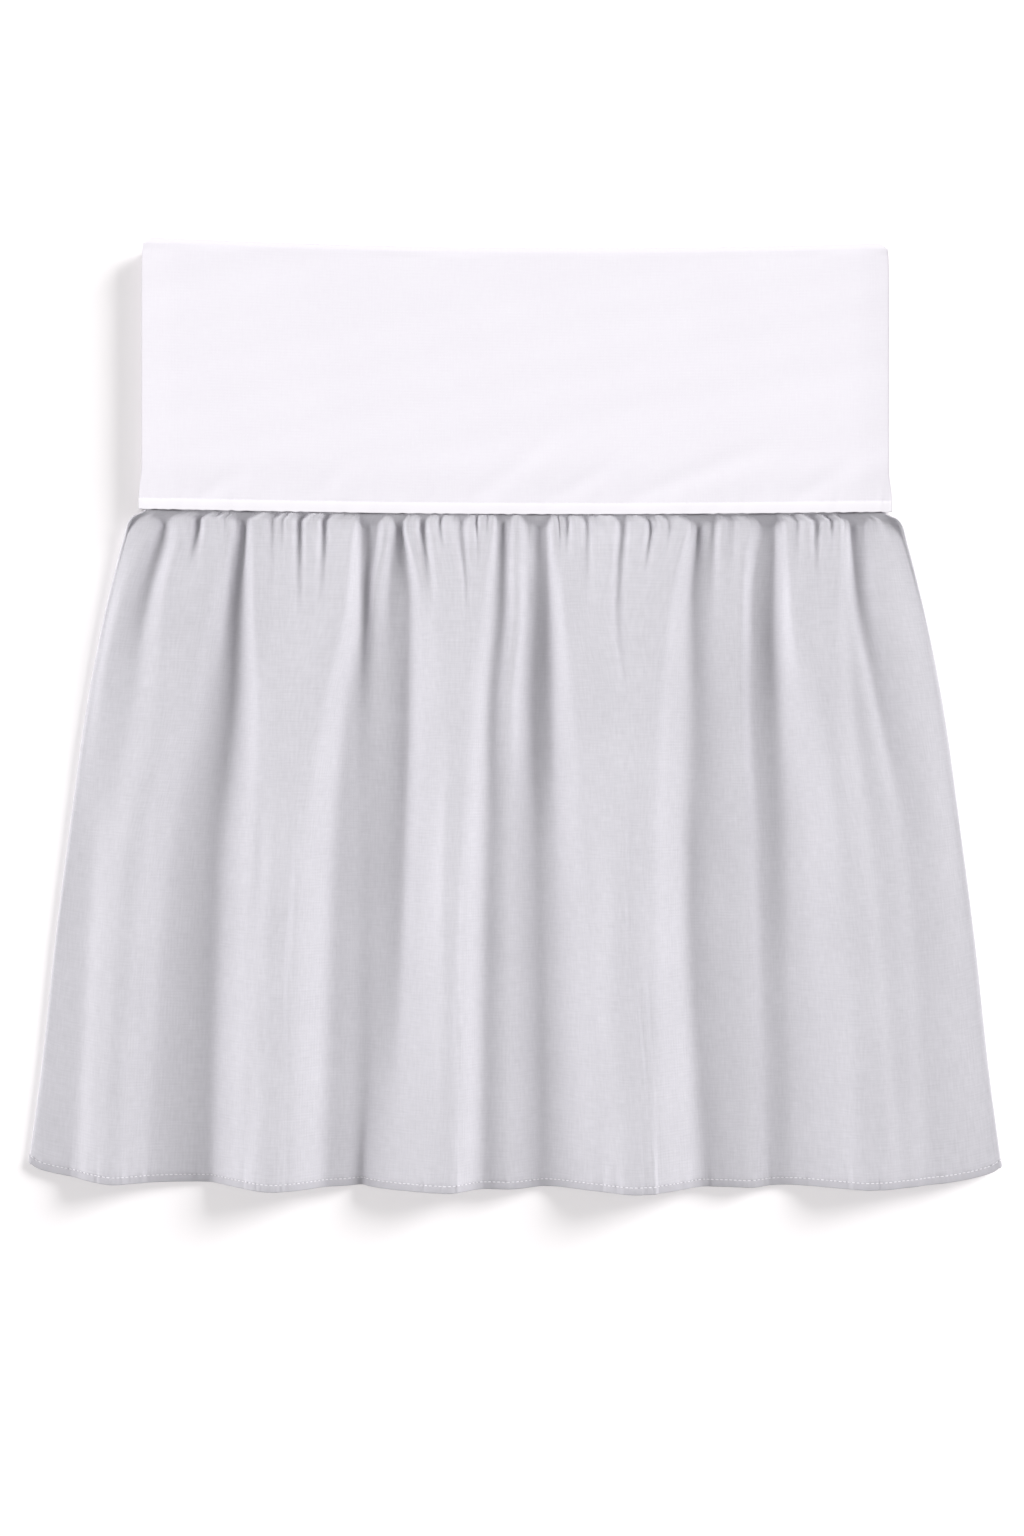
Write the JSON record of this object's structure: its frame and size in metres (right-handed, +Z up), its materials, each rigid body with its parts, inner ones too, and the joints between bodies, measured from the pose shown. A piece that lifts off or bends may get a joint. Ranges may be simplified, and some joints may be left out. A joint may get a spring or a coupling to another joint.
{
  "type": "gathered crib bed skirt, folded and lying face up",
  "caption": "White platform sheet folded behind itself, with a gathered pale grey ruffle that falls in soft folds to a narrow stitched hem.",
  "frame": {"origin": "on the surface it lies on, under the middle of the bounding box", "axes": "+Z up out of the face, +Y from the hem towards the white deck, +X to the right of the face"},
  "size_m": [0.5852, 0.5716, 0.028],
  "materials": {
    "white_cotton": "matt plain weave, pressed, topstitched in white at the band",
    "grey_cotton": "fine plain weave with a slight satin sheen, hem stitched in white"
  },
  "bodies": {
    "root": {"deck": "white_cotton", "skirt": "grey_cotton"}
  },
  "joints": []
}
